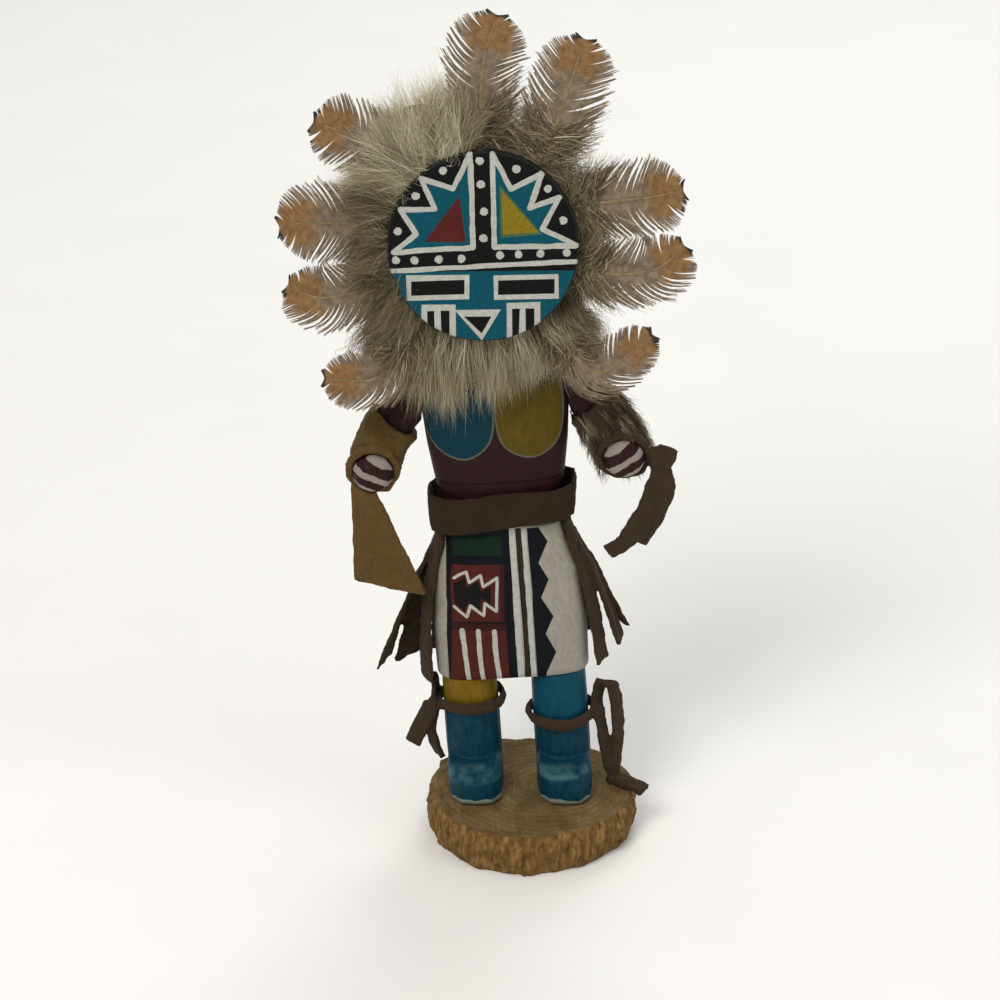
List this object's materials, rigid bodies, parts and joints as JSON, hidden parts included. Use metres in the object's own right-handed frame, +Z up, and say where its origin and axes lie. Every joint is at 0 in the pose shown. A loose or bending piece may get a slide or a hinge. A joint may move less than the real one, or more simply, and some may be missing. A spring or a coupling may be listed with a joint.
{
  "type": "kachina doll",
  "caption": "Carved and painted sun kachina doll on a wood slice: round painted mask in a ruff of fur and feathers, kilt, suede belt, fringes and ties, arms held forward.",
  "frame": {"origin": "centre of the wood slice's flat underside, on the surface it stands on", "axes": "+Z up, the doll looks along -Y, +X is the doll's left"},
  "size_m": [0.088, 0.0489, 0.1922],
  "materials": {
    "bare_wood": "bare sawn wood, rim rough where the bark came off",
    "painted_wood": "satin acrylic paint on carved wood, maroon, blue, yellow, white and black",
    "mask_paint": "satin painted sun pattern in turquoise, black, white, red and yellow",
    "brown_suede": "soft brown suede",
    "pale_hide": "soft tan hide",
    "grey_hide": "grey brown hide with some hair left on",
    "fur": "cream and grey brown rabbit fur",
    "feather": "grey barred feathers with tan and black tips"
  },
  "bodies": {
    "root": {"base": "bare_wood", "right_leg": "painted_wood", "left_leg": "painted_wood", "body": "painted_wood", "sun_mask": "mask_paint", "right_arm": "painted_wood", "left_arm": "painted_wood", "belt": "brown_suede", "right_fringe": "brown_suede", "left_fringe": "brown_suede", "right_arm_cuff": "pale_hide", "left_arm_cuff": "grey_hide", "right_wrist_flap": "pale_hide", "left_wrist_strip": "brown_suede", "right_ankle_tie": "brown_suede", "left_ankle_tie": "brown_suede", "fur_ruff": "fur", "feather_top": "feather", "feather_upper_left": "feather", "feather_side_left": "feather", "feather_lower_left": "feather", "feather_bottom_left": "feather", "feather_upper_right": "feather", "feather_side_right": "feather", "feather_lower_right": "feather", "feather_bottom_right": "feather"}
  },
  "joints": []
}
